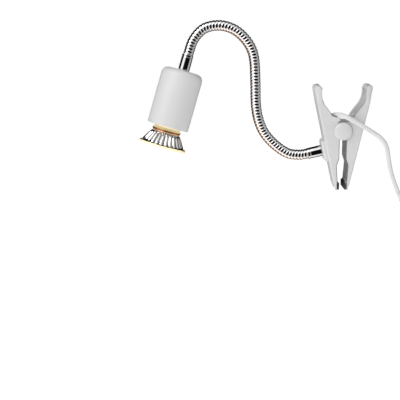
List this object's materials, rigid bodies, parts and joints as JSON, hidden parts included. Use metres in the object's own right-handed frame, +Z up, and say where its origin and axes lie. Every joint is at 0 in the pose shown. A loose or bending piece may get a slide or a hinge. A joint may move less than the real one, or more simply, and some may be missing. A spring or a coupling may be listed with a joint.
{
  "type": "aquarium light",
  "caption": "Clip-on aquarium light: white spring clamp, chrome gooseneck and a round housing holding a fluted reflector bulb, on a white mains cord.",
  "frame": {"origin": "centre of the gripping face of the rubber pad on the lamp-side jaw", "axes": "+X out of that pad towards the lever jaw, +Y to the back, +Z up"},
  "size_m": [0.3823, 0.0791, 0.3443],
  "materials": {
    "white_plastic": "smooth gloss injection moulding",
    "chrome": "bright chrome plate",
    "steel": "zinc plated",
    "brass": "satin",
    "gold_collar": "polished, lit from inside",
    "ceramic": "unglazed ceramic",
    "grey_rubber": "matt",
    "reflector": "polished and fluted",
    "lamp_glass": "clear, glowing warm white",
    "cord_white": "satin flexible vinyl",
    "tie_grey": "matt",
    "rocker_grey": "satin",
    "lead_insulation": "satin"
  },
  "bodies": {
    "clamp": {"lamp_jaw": "white_plastic", "pivot_pin": "steel", "pivot_cap_front": "white_plastic", "pivot_cap_rear": "white_plastic", "clamp_spring": "steel", "lamp_jaw_pad": "grey_rubber", "base_ferrule": "chrome", "base_washer": "steel", "base_nut": "steel", "cord_anchor": "white_plastic", "jaw_lead_rear": "lead_insulation", "jaw_lead_front": "lead_insulation", "neck_hose_1": "chrome", "neck_cable_1": "cord_white", "cord_from_jaw": "cord_white", "cord_to_coil": "cord_white", "cord_to_plug": "cord_white", "cord_coil": "cord_white", "cord_tie": "tie_grey", "switch_front_shell": "white_plastic", "switch_rear_shell": "white_plastic", "switch_contact": "brass", "plug_relief": "cord_white", "plug_body": "cord_white", "plug_pin_left": "brass", "plug_pin_right": "brass"},
    "lever": {"lever_jaw": "white_plastic", "lever_jaw_pad": "grey_rubber"},
    "neck_2": {"neck_hose_2": "chrome", "neck_cable_2": "cord_white"},
    "neck_3": {"neck_hose_3": "chrome", "neck_cable_3": "cord_white"},
    "neck_4": {"neck_hose_4": "chrome", "neck_cable_4": "cord_white"},
    "neck_5": {"neck_hose_5": "chrome", "neck_cable_5": "cord_white"},
    "neck_6": {"neck_hose_6": "chrome", "neck_cable_6": "cord_white"},
    "head": {"neck_hose_7": "chrome", "neck_cable_7": "cord_white", "head_ferrule": "chrome", "head_washer": "steel", "head_nut": "steel", "lamp_housing": "white_plastic", "socket_bracket": "steel", "socket_screw_left": "steel", "socket_screw_right": "steel", "lamp_socket": "ceramic", "socket_contact_left": "brass", "socket_contact_right": "brass", "head_lead_left": "lead_insulation", "head_lead_right": "lead_insulation"},
    "bulb": {"bulb_base": "ceramic", "bulb_pin_left": "steel", "bulb_pin_right": "steel", "bulb_collar": "gold_collar", "bulb_reflector": "reflector", "bulb_capsule": "lamp_glass", "bulb_front_glass": "lamp_glass"},
    "rocker": {"switch_rocker": "rocker_grey"}
  },
  "joints": [
    {"name": "clamp_hinge", "type": "hinge", "parent": "clamp", "child": "lever", "pos_m": [0.0025, 0, 0.06], "axis": [0, -1, 0], "range_deg": [-4.2, 30], "stiffness_Nm_per_rad": 0.3, "springref_deg": -51.57, "deforming": ["clamp_spring"]},
    {"name": "neck_lift_low", "type": "hinge", "parent": "clamp", "child": "neck_2", "pos_m": [-0.06548, 0, 0.04123], "axis": [0, 1, 0], "range_deg": [-18, 18]},
    {"name": "neck_swing_low", "type": "hinge", "parent": "neck_2", "child": "neck_3", "pos_m": [-0.08559, 0, 0.06862], "axis": [0.9495, 0, 0.3139], "range_deg": [-18, 18]},
    {"name": "neck_lift_middle", "type": "hinge", "parent": "neck_3", "child": "neck_4", "pos_m": [-0.08979, 0, 0.10224], "axis": [0, 1, 0], "range_deg": [-14, 18]},
    {"name": "neck_swing_middle", "type": "hinge", "parent": "neck_4", "child": "neck_5", "pos_m": [-0.09166, 0, 0.1367], "axis": [0.9867, 0, 0.1623], "range_deg": [-18, 18]},
    {"name": "neck_lift_high", "type": "hinge", "parent": "neck_5", "child": "neck_6", "pos_m": [-0.10975, 0, 0.16449], "axis": [0, 1, 0], "range_deg": [-10, 18]},
    {"name": "neck_swing_high", "type": "hinge", "parent": "neck_6", "child": "head", "pos_m": [-0.14269, -0.00015, 0.16819], "axis": [-0.4026, 0, 0.9154], "range_deg": [-18, 18]},
    {"name": "bulb_twist", "type": "hinge", "parent": "head", "child": "bulb", "pos_m": [-0.17534, -0.0077, 0.09277], "axis": [-0.284, -0.105, -0.9531], "range_deg": [0, 25]},
    {"name": "rocker_tilt", "type": "hinge", "parent": "clamp", "child": "rocker", "pos_m": [0.082, -0.017, -0.086], "axis": [-1, 0, 0], "range_deg": [0, 20]}
  ]
}
